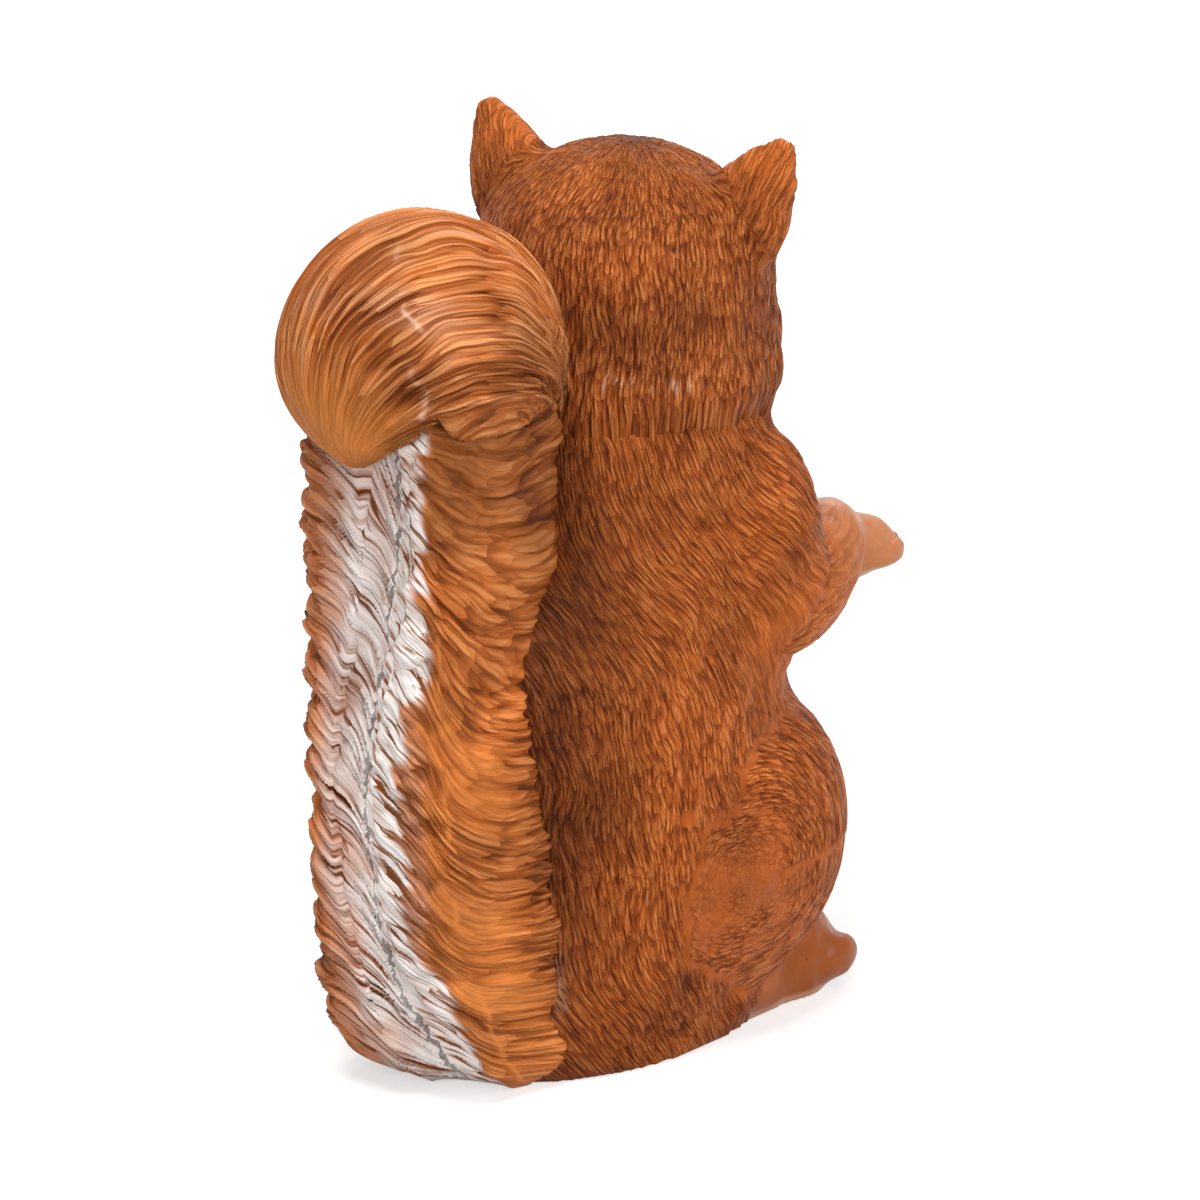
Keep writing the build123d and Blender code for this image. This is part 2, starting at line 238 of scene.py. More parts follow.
def fur_paint(name, cut, body, crest, glow, frost, hair_width, hair_length):
    """Sprayed and dry-brushed resin: dark cuts, brown hair, paler crests and a satin varnish."""
    paint = bpy.data.materials.new(name)
    paint.use_nodes = True
    tree = paint.node_tree
    shader = tree.nodes["Principled BSDF"]

    def node(kind, **settings):
        made = tree.nodes.new(kind)
        for key, value in settings.items():
            setattr(made, key, value)
        return made

    def feed(socket, value):
        if isinstance(value, bpy.types.NodeSocket):
            tree.links.new(value, socket)
        else:
            socket.default_value = value

    def mark(attribute):
        return node("ShaderNodeAttribute", attribute_name=attribute).outputs["Fac"]

    def maths(operation, first, second):
        made = node("ShaderNodeMath", operation=operation)
        feed(made.inputs[0], first)
        feed(made.inputs[1], second)
        return made.outputs[0]

    def spread(value, low, high, to_low, to_high):
        made = node("ShaderNodeMapRange", interpolation_type="SMOOTHSTEP")
        for socket, given in zip(made.inputs, (value, low, high, to_low, to_high)):
            feed(socket, given)
        return made.outputs[0]

    def mixed(share, first, second, blend="MIX"):
        made = node("ShaderNodeMix", data_type="RGBA", blend_type=blend)
        feed(made.inputs[0], share)
        feed(made.inputs[6], first)
        feed(made.inputs[7], second)
        return made.outputs[2]

    def eased(share, first, second):
        made = node("ShaderNodeMix", data_type="FLOAT")
        feed(made.inputs[0], share)
        feed(made.inputs[2], first)
        feed(made.inputs[3], second)
        return made.outputs[0]

    def combed(width, length, shift):
        made = node("ShaderNodeMapping")
        made.inputs["Location"].default_value = (shift, shift, 0)
        made.inputs["Scale"].default_value = (1 / width, 1 / length, 1)
        feed(made.inputs["Vector"], flow)
        return made.outputs[0]

    def lying_hairs(width, length, shift):
        cells = combed(width, length, shift)
        made = node("ShaderNodeTexVoronoi", voronoi_dimensions="2D")
        made.inputs["Scale"].default_value = 1.0
        feed(made.inputs["Vector"], cells)
        off = node("ShaderNodeVectorMath", operation="SUBTRACT")
        feed(off.inputs[0], cells)
        feed(off.inputs[1], made.outputs["Position"])
        sides = node("ShaderNodeSeparateXYZ")
        feed(sides.inputs[0], off.outputs[0])
        rise = spread(sides.outputs["Y"], -0.65, 0.5, 0.2, 1.0)
        flank = spread(maths("ABSOLUTE", sides.outputs["X"], 0.0), 0.1, 0.6, 1.0, 0.25)
        return spread(maths("MULTIPLY", rise, flank), 0.08, 0.75, 0.0, 1.0)

    flow = node("ShaderNodeAttribute", attribute_name="flow").outputs["Vector"]
    strand = node("ShaderNodeTexNoise", noise_dimensions="2D")
    strand.inputs["Scale"].default_value = 1.0
    strand.inputs["Detail"].default_value = 2.0
    strand.inputs["Distortion"].default_value = 0.3
    feed(strand.inputs["Vector"], combed(2.2 * hair_width, 2.4 * hair_length, 0.0))
    off_line = maths("ABSOLUTE", maths("SUBTRACT", strand.outputs["Fac"], 0.5), 0.0)
    crest_line = spread(off_line, 0.0, 0.06, 0.18, 0.0)
    coarse = maths("MULTIPLY", lying_hairs(1.4 * hair_width, hair_length, 3.7), 0.5)
    thin = maths("MULTIPLY", lying_hairs(0.8 * hair_width, 0.65 * hair_length, 9.1), 0.32)
    combing = maths("ADD", crest_line, maths("ADD", coarse, thin))
    worn = mark("worn")
    fine = eased(maths("MAXIMUM", worn, mark("rubbed")), combing, 0.5)
    height = maths("ADD", maths("MULTIPLY", mark("hair"), 0.35), maths("MULTIPLY", fine, 0.65))

    tones = node("ShaderNodeValToRGB")
    tones.color_ramp.elements[0].position = 0.2
    tones.color_ramp.elements[0].color = paint_colour(*cut)
    tones.color_ramp.elements[1].position = 0.92
    tones.color_ramp.elements[1].color = paint_colour(*crest)
    middle = tones.color_ramp.elements.new(0.56)
    middle.color = paint_colour(*body)
    tree.links.new(height, tones.inputs[0])

    place = node("ShaderNodeTexCoord").outputs["Object"]
    cloud = node("ShaderNodeTexNoise")
    cloud.inputs["Scale"].default_value = 60.0
    cloud.inputs["Detail"].default_value = 5.0
    tree.links.new(place, cloud.inputs["Vector"])
    patchy = spread(cloud.outputs["Fac"], 0.3, 0.7, 0.84, 1.14)
    sprayed = mixed(1.0, tones.outputs["Color"], patchy, "MULTIPLY")
    lit = mixed(1.0, paint_colour(*glow), spread(height, 0.2, 0.85, 0.6, 1.15), "MULTIPLY")
    warmed = mixed(mark("glow"), sprayed, lit)
    # The shade mark multiplies the colour: painted shade where it is below 1, painted light where it is
    # above, with some random tone mixed in.
    shaded = mixed(1.0, warmed, mark("shade"), "MULTIPLY")
    brushed = spread(height, 0.28, 0.62, 0.0, 1.0)
    dusted = node("ShaderNodeClamp")
    tree.links.new(maths("MULTIPLY", mark("frost"), brushed), dusted.inputs[0])
    frosted = mixed(dusted.outputs[0], shaded, paint_colour(*frost))
    pit = node("ShaderNodeTexVoronoi")
    pit.inputs["Scale"].default_value = 95.0
    tree.links.new(place, pit.inputs["Vector"])
    pinhole = maths("LESS_THAN", pit.outputs["Distance"], 0.02)
    tree.links.new(mixed(pinhole, frosted, paint_colour(48, 22, 10)), shader.inputs["Base Color"])

    sheen = maths("MAXIMUM", maths("MULTIPLY", height, 0.7), worn)
    tree.links.new(spread(sheen, 0.0, 1.0, 0.62, 0.3), shader.inputs["Roughness"])
    shader.inputs["Specular IOR Level"].default_value = 0.15
    carved = node("ShaderNodeBump")
    carved.inputs["Distance"].default_value = 0.0008
    tree.links.new(spread(worn, 0.0, 1.0, 1.0, 0.3), carved.inputs["Strength"])
    tree.links.new(fine, carved.inputs["Height"])
    tree.links.new(carved.outputs[0], shader.inputs["Normal"])
    return paint


plate_thickness = (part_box("base_plate")[1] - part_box("base_plate")[0]).z
torso = casting_skin(
    "torso",
    "body_shell",
    TORSO_GRAIN,
    rounds=8,
    held=lambda p: p.z < TORSO_RIM_HEIGHT or p.z > NECK_FACE_HEIGHT,
    fills=6,
    stops=(("base_plate", plate_thickness), ("tail_dowels", 0), ("foot_dowels", 0), ("arm_dowels", 0)),
)
places, outward = skin_points(torso)
x, y, z = places.T
levels = np.arange(0, TORSO_TOP)
leaning = np.interp(z, levels, np.cumsum(np.interp(levels, HAIR_LEAN_HEIGHTS, HAIR_LEANS)))
across = TORSO_GIRTH_RADIUS * np.arctan2(np.abs(x), y - TORSO_MIDDLE_Y) + leaning + 3 * ramp(x, 0, 10)
along = 8 * ramp(x, 0, 14) - z
haunch = np.sqrt(sum(
    ((axis - middle) / half) ** 2
    for axis, middle, half in zip((np.abs(x), y, z), HAUNCH_MIDDLE, HAUNCH_HALF)
))
on_haunch = 1 - ramp(haunch + 0.12 * drift(places / 8, 3), 0.98, 1.22)
whorl_y, whorl_z = HAUNCH_WHORL
ring = np.hypot(y - whorl_y, z - whorl_z)
turning = np.arctan2(z - whorl_z, y - whorl_y)
down_back = np.stack([across, along], 1)
round_haunch = np.stack([HAUNCH_COMBING - ring, 24 * turning], 1)
wander = np.stack([
    1.8 * drift(places / 11, 5) + 0.35 * drift(places / 4, 6),
    2.0 * drift(places / 8, 7),
], 1)
combed_ways = [way + wander for way in (down_back, round_haunch)]


def torso_hair(way):
    """Strokes, locks and clumps of the torso's hair, combed one way."""
    across, along = way.T
    return (
        cuts(across / 2.3, along / 6.5, 11),
        hairs(across / 2.1, along / 7.5, 12),
        hairs(across / 5.5, along / 16, 13),
    )


stroke, lock, clump = (
    (1 - on_haunch) * back + on_haunch * thigh
    for back, thigh in zip(*map(torso_hair, combed_ways))
)
combed_round = (on_haunch + 0.3 * drift(places / 3.5, 8) > 0.5).astype(float)
flow = np.where(combed_round[:, None] > 0.5, combed_ways[1], combed_ways[0])
corners = np.empty(len(torso.data.loops), np.int32)
starts = np.empty(len(torso.data.polygons), np.int32)
torso.data.loops.foreach_get("vertex_index", corners)
torso.data.polygons.foreach_get("loop_start", starts)
combing_jump, turning_jump = (
    np.maximum.reduceat(values[corners], starts) - np.minimum.reduceat(values[corners], starts)
    for values in (combed_round, turning * combed_round)
)
parted = (combing_jump > 0.5) | (turning_jump > math.pi)
rubbed = np.zeros(len(places))
rubbed[corners[np.repeat(parted, np.diff(np.append(starts, len(corners))))]] = 1
rub = np.linalg.norm((places - WORN_PATCH) / WORN_HALF, axis=1) + 0.6 * drift(places / 6, 15)
worn = 1 - ramp(rub, 0.3, 1.3)
hair = np.clip(0.8 - 0.5 * stroke + 0.35 * (lock - 0.6), 0, 1) * (1 - 0.7 * worn) + 0.52 * worn
grip = ramp(z, 0.2, 4) * (1 - 0.75 * worn)
relief = grip * (0.5 * (0.3 - stroke) + 0.3 * (lock - 0.6) + 0.3 * (clump - 0.6))
relief = relief + 0.3 * worn * drift(places / 3, 16)
pitted = np.zeros(len(places))
for *pit_place, pit_radius in CAST_PITS:
    pitted = np.maximum(pitted, np.exp(-(np.linalg.norm(places - pit_place, axis=1) / pit_radius) ** 2))
relief = relief - PIT_DEPTH * pitted
for limb, reach in (("forearm", ARM_FILLER), ("foot", FOOT_FILLER)):
    for side in ("right", "left"):
        relief = relief + 0.5 * reach * putty(places, f"{side}_{limb}", reach) * ramp(z, 1, 5)
by_the_arm = np.maximum(*(putty(places, f"{side}_forearm", ARM_SPRAY_REACH) for side in ("right", "left")))
by_the_arm = by_the_arm * (1 - ramp(-y, 14, 22))
# Painted shade: tail_crease_shade marks the crease against the tail, where shade falls.
tail_crease_shade = (1 - ramp(np.abs(x) - 19 + 3 * drift(places / 7, 17), 0, 17)) * ramp(y, 25, 40)
belly = ramp(-y - 12, 0, 14) * (1 - ramp(np.abs(x), 14, 26)) * ramp(z, 6, 30)
smear = np.exp(-((np.abs(x) - 21.5 - 0.25 * (25 - z)) / 0.9) ** 2)
smear = smear * ramp(z, 12, 18) * (1 - ramp(z, 27, 33)) * ramp(y, 40, 44)
smear = smear * ramp(drift(places / 2.5, 18), -0.4, 0.5) * (x < 0)
# Painted shade and light: darker in the crease against the tail, towards the base, across the middle of
# the back and in the cast pits, lighter on the outer flanks; random tone on top.
shade = 1.02 - 0.48 * tail_crease_shade + 0.1 * ramp(np.abs(x), 30, 41)
shade = shade - 0.07 * ramp(16 - z, 0, 16) - 0.65 * pitted
shade = shade + 0.1 * drift(places / 14, 19) - 0.1 * np.exp(-((z - 92) / 26) ** 2) * ramp(y, 14, 32)
carve(
    torso, places, outward, relief,
    flow=np.pad(flow, ((0, 0), (0, 1))), hair=hair, worn=0.8 * worn,
    rubbed=np.maximum(rubbed, 0.55 * by_the_arm), shade=shade + 0.06 * by_the_arm,
    frost=1.25 * belly + 0.25 * smear, glow=np.maximum(0.25 * worn, 0.5 * by_the_arm),
)
paint_over(torso, fur_paint(
    "rust_fur_paint", cut=(92, 38, 10), body=(157, 75, 20), crest=(200, 116, 56),
    glow=(172, 90, 36), frost=(222, 192, 164), hair_width=0.75, hair_length=4.6,
))

# Base plate: a flat resin disc let into the rebate under the hollow torso and ground level with the
# rim on a belt sander. It is left unpainted, so the pale resin shows swirls of sanding marks.
def sanded_resin():
    paint = bpy.data.materials.new("sanded_bare_resin")
    paint.use_nodes = True
    tree = paint.node_tree
    shader = tree.nodes["Principled BSDF"]
    place = tree.nodes.new("ShaderNodeTexCoord")
    belt = tree.nodes.new("ShaderNodeMapping")
    belt.inputs["Scale"].default_value = (2600, 90, 1)
    belt.inputs["Rotation"].default_value = (0, 0, 0.5)
    tree.links.new(place.outputs["Object"], belt.inputs["Vector"])
    scratch = tree.nodes.new("ShaderNodeTexNoise")
    scratch.inputs["Scale"].default_value = 1.0
    scratch.inputs["Detail"].default_value = 4.0
    tree.links.new(belt.outputs[0], scratch.inputs["Vector"])
    tones = tree.nodes.new("ShaderNodeValToRGB")
    tones.color_ramp.elements[0].position = 0.3
    tones.color_ramp.elements[0].color = paint_colour(196, 176, 150)
    tones.color_ramp.elements[1].position = 0.7
    tones.color_ramp.elements[1].color = paint_colour(230, 216, 194)
    tree.links.new(scratch.outputs["Fac"], tones.inputs[0])
    tree.links.new(tones.outputs["Color"], shader.inputs["Base Color"])
    shader.inputs["Roughness"].default_value = 0.75
    marks = tree.nodes.new("ShaderNodeBump")
    marks.inputs["Strength"].default_value = 0.4
    marks.inputs["Distance"].default_value = 0.0001
    tree.links.new(scratch.outputs["Fac"], marks.inputs["Height"])
    tree.links.new(marks.outputs[0], shader.inputs["Normal"])
    return paint


paint_over(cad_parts["base_plate"], sanded_resin())

# Tail trunk: a solid resin casting doweled and glued to the back. Blades of hair were cut outwards from
# a winding groove down its rear; they fold over the rims and sweep down along the sides. The sides are
# sprayed amber, and the groove and the blades beside it are dry-brushed with a greyish white.
TRUNK_GRAIN = 0.00055
TRUNK_SOLE_HEIGHT = 1.5
TRUNK_GLUE_HEIGHT = 147.5
TRUNK_TOP = 149
TRUNK_HALF_WIDTH = 19.0
TRUNK_FOOT_HALF_WIDTH = 14.5
TRUNK_REAR_Y = 82.0
TRUNK_FOOT_REAR_Y = 65.0
TRUNK_FOOT_HEIGHT = 42.0
GROOVE_HALF_WIDTH = 6.0
GROOVE_DEPTH = 4.5
GROOVE_HEIGHTS = (0, 19.4, 44.7, 62.6, 80.5, 98.3, 119.2, 149)
GROOVE_SIDES = (-9.4, -7.0, 0.6, 2.5, 0.8, -4.2, -8.0, -8.6)
SWEEP_HEIGHTS = (0, 20, 45, 68, 90, 110, 130, 150)
SWEEP_DROPS = (16, 22, 28, 31, 29, 23, 16, 9)
NEAR_SIDE_COMBING = 400
FOOT_FLARE = 7.0
FOOT_TUFT = 9.0
FLARE_WAY = (-0.74, -0.67)


def wobble(along, seed):
    """Smooth random heights from -1 to 1 along one line; counted in cells."""
    return drift(np.stack([along, 0 * along], 1), seed)


trunk = casting_skin(
    "tail_trunk_fur", "tail_trunk", TRUNK_GRAIN, rounds=8,
    held=lambda p: p.z < TRUNK_SOLE_HEIGHT or p.z > TRUNK_GLUE_HEIGHT, fills=2,
)
places, outward = skin_points(trunk)
x, y, z = places.T
foot_share = np.clip(z / TRUNK_FOOT_HEIGHT, 0, 1)
swell = np.sqrt(1 - (1 - foot_share) ** 2)
rear = TRUNK_FOOT_REAR_Y + (TRUNK_REAR_Y - TRUNK_FOOT_REAR_Y) * swell
half_width = TRUNK_FOOT_HALF_WIDTH + (TRUNK_HALF_WIDTH - TRUNK_FOOT_HALF_WIDTH) * swell
groove = np.interp(z, GROOVE_HEIGHTS, GROOVE_SIDES) + 0.5 * wobble(z / 7, 21)
off_groove = x - groove
near_rim_side = off_groove < 0
near_share = np.where(near_rim_side, 1, 0)
bed = GROOVE_DEPTH * np.sqrt(np.clip(1 - (off_groove / GROOVE_HALF_WIDTH) ** 2, 0, 1))
round_corner = np.maximum(rear - bed - y, 0)
from_groove = np.abs(off_groove) + round_corner
to_rim = np.where(near_rim_side, half_width + groove, half_width - groove)
past_rim = np.maximum(from_groove - to_rim, 0)
inner = np.minimum(from_groove, to_rim)
side = ramp(past_rim + 1.5 * drift(places / 5, 20), -1.5, 3.5)
rear_left = (1 - side) * (1 - near_share)
rear_right = (1 - side) * near_share
fallen = np.interp(z, SWEEP_HEIGHTS, SWEEP_DROPS) * (1 - np.exp(-past_rim / 20)) - 0.004 * past_rim ** 2
across = z + fallen + np.where(near_rim_side, 0.7 * inner, -20 * (1 - np.exp(-inner / 9)))
across = across + NEAR_SIDE_COMBING * near_share
across = across + 1.4 * drift(places / 12, 22) + 0.25 * drift(places / 4, 23)
along = from_groove + 2 * drift(places / 9, 24)
blade = hairs(across / 2.2, along / 15, 25)
nick = cuts(across / 2.2, along / 10, 26)
sweep = hairs(across / 4.2, along / 30, 27)
gash = cuts(across / 5.0, along / 15, 28) * ramp(drift(places / 13, 31), -0.1, 0.5)
ripple = hairs(across / 1.8, along / 16, 29)
tuft = hairs(across / 6.0, along / 30, 30)
lump = drift(places / 3.4, 32) + 0.6 * drift(places / 1.6, 33)
smooth_side = ramp(drift(np.stack([across / 9, along / 24], 1), 34), -0.25, 0.45)
smooth_side = smooth_side * (1 - ramp(past_rim, 16, 30))
at_rim = np.exp(-((from_groove - to_rim) / 5) ** 2)
bristle = ramp(past_rim, 18, 30)
grip = ramp(z, 0.2, 5)
relief = grip * (
    rear_left * (1.5 * (blade - 0.6) + 1.2 * (0.3 - nick) + 0.6 * (tuft - 0.6))
    + rear_right * (0.75 * lump + 0.5 * (0.3 - nick))
    + side * (1.7 * (sweep - 0.6) + (0.6 - 0.4 * smooth_side) * (ripple - 0.6) - 1.9 * gash)
    + side * bristle * 0.7 * (0.3 - nick)
    + at_rim * 0.7 * (tuft - 0.5)
)
side_hair = 0.4 + 0.3 * sweep + 0.35 * ripple * (1 - smooth_side) + 0.25 * smooth_side
side_hair = side_hair - 0.8 * gash - 0.3 * bristle * nick
hair = np.clip(
    rear_left * (0.42 + 0.58 * blade - 0.45 * nick)
    + rear_right * (0.65 + 0.28 * lump - 0.35 * nick)
    + side * side_hair,
    0, 1,
)
frost = rear_left * (1.2 - 1.15 * ramp(inner / to_rim, 0.1, 0.75)) + rear_right * 1.6
fringe = 3.0 * drift(np.stack([across / 2.4, along / 14], 1), 40)
frost = frost * (1 - ramp(from_groove - to_rim + fringe, -2.5, 1.5))
frost = frost * (1 - 0.9 * ramp(-off_groove - 11.0 + fringe, -0.5, 2.5) * (1 - ramp(z, 88, 104)))
seam_line = np.exp(-((past_rim - 1.5 - 0.05 * (TRUNK_TOP - z) - 0.6 * drift(places / 5, 37)) / 0.7) ** 2)
seam_line = seam_line * near_share * ramp(wobble(z / 11, 38), 0.0, 0.3)
by_the_rim = ramp(inner / to_rim, 0.4, 0.9)
# Painted shade and light: darker where the sides turn in towards the torso, on the outer part of the far
# rear edge and high on the near side under the curl, lighter halfway up the near side and on the lumps;
# random tone on top, and never darker than 0.58.
shade = 1.0 - 0.3 * ramp(past_rim, 24, 36) - 0.16 * rear_left * by_the_rim
shade = shade + 0.06 * lump + 0.12 * drift(places / 12, 39)
shade = shade + side * (0.1 * np.exp(-((z - 78) / 24) ** 2) - 0.4 * ramp(z, 110, 136)) * near_share
shade = np.maximum(shade, 0.58)
glow = side * (0.1 + 0.5 * smooth_side + 0.2 * ramp(60 - z, 0, 50)) * (1 - ramp(past_rim, 20, 34))
glow = glow + 0.6 * seam_line + 0.35 * rear_right + 0.15 * rear_left * by_the_rim
flared = FOOT_FLARE * ramp(50 - z, 0, 45) * ramp(-x, 4, 14)
flared = flared + FOOT_TUFT * ramp(18 - z, 0, 18) * ramp(past_rim, 8, 24) * near_share
places[:, 0] = x + FLARE_WAY[0] * flared
places[:, 1] = y + FLARE_WAY[1] * flared
carve(
    trunk, places, outward, relief + 0.3 * seam_line,
    flow=np.stack([across, along, 0 * along], 1), hair=hair,
    worn=0.35 * side * smooth_side + 0.5 * seam_line,
    rubbed=0.9 * np.exp(-((off_groove / 0.9) ** 2)) * (1 - side),
    shade=shade, frost=frost, glow=np.clip(glow, 0, 1),
)
paint_over(trunk, fur_paint(
    "amber_tail_paint", cut=(88, 38, 10), body=(176, 92, 34), crest=(220, 138, 76),
    glow=(206, 122, 56), frost=(252, 241, 235), hair_width=1.5, hair_length=12.0,
))

# Tail curl: the rolled top of the tail, cast alone and glued on the trunk over a dowel. Its long hair
# runs from the front over the crown and meets in a point at the rear. It is sprayed brown on top and
# amber towards the point, and a pale mould line crosses it.
CURL_GRAIN = 0.00037
CURL_MIDDLE = np.array((-2.3, 65.0, 156.5))
CURL_HALF = np.array((27.0, 30.0, 28.7))
CURL_PARTING = np.array((-24.0, 44.0, 146.0))
CURL_POINT = np.array((-3.0, 90.0, 134.0))
LIP_HEIGHT = 136.2
LIP_RISE = 0.68
MOULD_LINE_HEIGHTS = (140, 155, 167, 176, 183, 187)
MOULD_LINE_SIDES = (-23, -22, -20.5, -14, -8, -4)
SKIRT_DROP = 2.4

curl = casting_skin("tail_curl_fur", "tail_curl", CURL_GRAIN, rounds=8, held=lambda p: False)
places, outward = skin_points(curl)
x, y, z = places.T
ball = (places - CURL_MIDDLE) / CURL_HALF
parting = (CURL_PARTING - CURL_MIDDLE) / CURL_HALF
point = (CURL_POINT - CURL_MIDDLE) / CURL_HALF
chord = (point - parting) / np.linalg.norm(point - parting)
upright = np.array((0, 0, 1.0)) - chord * chord[2]
upright = upright / np.linalg.norm(upright)
sideways = np.cross(chord, upright)
reach = ball - parting
turn = np.arctan2(reach @ sideways, reach @ upright)
from_parting = np.linalg.norm(ball - parting, axis=1)
from_point = np.linalg.norm(ball - point, axis=1)
across = 32 * turn + 1.4 * drift(places / 11, 41) + 0.25 * drift(places / 4, 42)
along = 20 * np.log((from_parting + 0.05) / (from_point + 0.05)) + 2 * drift(places / 8, 43)
lock = hairs(across / 3.0, along / 16, 44)
stroke = cuts(across / 2.2, along / 11, 45)
ripple = hairs(across / 1.2, along / 14, 46)
calm = 1 - ramp(from_point, 0.45, 1.2)
satin = calm * ramp(ball[:, 0] + 0.3 * drift(places / 10, 48), -0.75, -0.35)
under = ramp(-outward[:, 2], 0.75, 0.95) * (1 - ramp(y, 84, 88))
ragged = ramp(-ball[:, 0], 0.2, 0.7) * (1 - ramp(z, 156, 168))
relief = (1 - under) * (
    (1 - 0.85 * satin) * (0.9 * (lock - 0.6) + 1.0 * (0.35 - stroke))
    + (0.35 - 0.2 * satin) * (ripple - 0.6)
    + 0.8 * ragged * (lock - 0.5)
)
hair = np.clip(0.85 - (0.55 - 0.35 * satin) * stroke + 0.3 * (lock - 0.6) + 0.25 * (ripple - 0.6), 0, 1)
line = np.interp(z, MOULD_LINE_HEIGHTS, MOULD_LINE_SIDES) + 0.9 * wobble(z / 3, 49)
mould_line = np.exp(-((x - line) / 0.5) ** 2) * ramp(outward[:, 1] + outward[:, 2], 0.2, 0.5)
mould_line = mould_line * ramp(wobble(z / 5, 50), -0.5, 0.1)
# Painted highlight: crown_sheen lays pale patches of the frost colour over the top of the curl.
crown_sheen = ramp(drift(places / (14, 14, 9), 47), 0.0, 0.6) * ramp(ball[:, 2], 0.1, 0.6)
tipward = 1 - ramp(from_point, 0.1, 1.0)
skirt = (1 - ramp(z, 149.2, 152)) * ramp(z, 147.5, 148.9) * (1 - ramp(y, 80, 84)) * (1 - under)
places[:, 2] = z - skirt * SKIRT_DROP * np.clip(0.5 + wobble(across / 2.5, 51), 0, 1.2)
lip = LIP_HEIGHT + LIP_RISE * np.abs(x - CURL_POINT[0])
lifted = lip + 2 * np.log1p(np.exp(np.minimum((z - lip) / 2, 30)))
places[:, 2] = places[:, 2] + ramp(y, 79, 83) * (1 - ramp(z, 152, 160)) * (lifted - z)
# Painted shade: the curl is darker on its underside. It is also darker over the ragged locks on the right,
# with random tone.
carve(
    curl, places, outward, relief + 0.35 * mould_line + 0.5 * skirt,
    flow=np.stack([across, along, 0 * along], 1), hair=hair, worn=0.5 * satin + 0.4 * mould_line,
    rubbed=0 * z,
    shade=1.0 - 0.3 * under - 0.2 * ragged + 0.12 * drift(places / 9, 52),
    frost=0.55 * mould_line + 0.22 * crown_sheen,
    glow=np.clip(0.85 * satin + 0.5 * tipward + 0.25 * skirt, 0, 0.95),
)
paint_over(curl, fur_paint(
    "amber_curl_paint", cut=(106, 48, 15), body=(178, 96, 38), crest=(222, 148, 92),
    glow=(212, 126, 54), frost=(234, 196, 166), hair_width=0.8, hair_length=12.0,
))

# Head casting: a solid resin head with its ears, doweled to the neck and turned to the squirrel's left.
# Short hair is combed down and out from the crown, along the ears and back from the nose. The painter
# left the muzzle and the rings round the eyes pale and brushed the nose and mouth dark.
HEAD_GRAIN = 0.00049
HEAD_FOOT = np.array((0.0, 2.0, 136.0))
HEAD_TURN = math.radians(15)
NECK_RADIUS = 31.0
NECK_SEAM_HEIGHT = 138
CROWN = (-2.0, -2.0, 54.0)
NOSE = np.array((0.0, -46.5, 16.0))
NOSE_PAD = (0, -46.5, 17.0)
NOSE_PAD_HALF = (4.6, 5.0, 3.6)
NOSTRIL = (2.6, -47.0, 15.0)
MOUTH_HEIGHT = 7.4
FACE_REACH = 33
FACE_COMBING = 500
EYE_SEAT = np.array((23.1, -20.9, 32.1))
LID_RADIUS = 6.3
EYE_RING_RADIUS = 7.2
EAR_ROOT = np.array((22.0, 0.0, 33.0))
EAR_TIP = np.array((35.0, -3.0, 58.0))
EAR_COMBING = 800
SKULL_HALF = np.array((33.0, 32.0, 28.5))
SKULL_HEIGHT = 26.5
HEAD_PINHOLE = (-26.2, 15.4, 173.0)

head = casting_skin(
    "head_fur", "head_casting", HEAD_GRAIN, rounds=10, held=lambda p: p.z < NECK_SEAM_HEIGHT, fills=8
)
places, outward = skin_points(head)
turned = places - HEAD_FOOT
hx = turned[:, 0] * math.cos(HEAD_TURN) + turned[:, 1] * math.sin(HEAD_TURN)
hy = turned[:, 1] * math.cos(HEAD_TURN) - turned[:, 0] * math.sin(HEAD_TURN)
hz = turned[:, 2]
local = np.stack([hx, hy, hz], 1)
mirrored = np.stack([np.abs(hx), hy, hz], 1)
crown_x, crown_y, crown_z = CROWN
across = 30 * np.arctan2(hx - crown_x, hy - crown_y)
along = np.hypot(hx - crown_x, hy - crown_y) + crown_z - hz
to_nose = np.linalg.norm((local - NOSE) * (1, 1, 1.15), axis=1)
to_face = to_nose + 4 * drift(places / 6, 61)
on_face = to_face < FACE_REACH
across = np.where(on_face, FACE_COMBING + 16 * np.arctan2(np.abs(hx), hz - 12), across)
along = np.where(on_face, to_nose, along)
ear_line = (EAR_TIP - EAR_ROOT) / np.linalg.norm(EAR_TIP - EAR_ROOT)
up_ear = (mirrored - EAR_ROOT) @ ear_line
off_skull = np.linalg.norm((local - (0, 0, SKULL_HEIGHT)) / SKULL_HALF, axis=1)
on_ear = ramp(off_skull + 0.03 * drift(places / 5, 62), 1.0, 1.16)
on_ear = on_ear * ramp(up_ear, -2, 6) * ramp(hy, -16, -11)
ear_across = (mirrored - EAR_ROOT) @ np.cross(ear_line, (0, 1, 0)) + 0.4 * hy
across = np.where(on_ear > 0.5, EAR_COMBING + ear_across, across)
along = np.where(on_ear > 0.5, -up_ear, along)
across = across + 1.4 * drift(places / 9, 63) + 0.3 * drift(places / 4, 64)
along = along + 1.6 * drift(places / 7, 65)
stroke = cuts(across / 1.8, along / 6, 66)
lock = hairs(across / 1.6, along / 7, 67)
clump = hairs(across / 5.0, along / 14, 68)
to_eye = np.linalg.norm(mirrored - EYE_SEAT, axis=1)
bare = np.maximum(1 - ramp(to_nose, 5, 9), 1 - ramp(to_eye, 5.5, 8.5))
lid = np.exp(-((to_eye - LID_RADIUS) / 1.2) ** 2)
nostril = np.exp(-(np.linalg.norm(mirrored - NOSTRIL, axis=1) / 1.3) ** 2)
lip = MOUTH_HEIGHT + 0.035 * hx ** 2
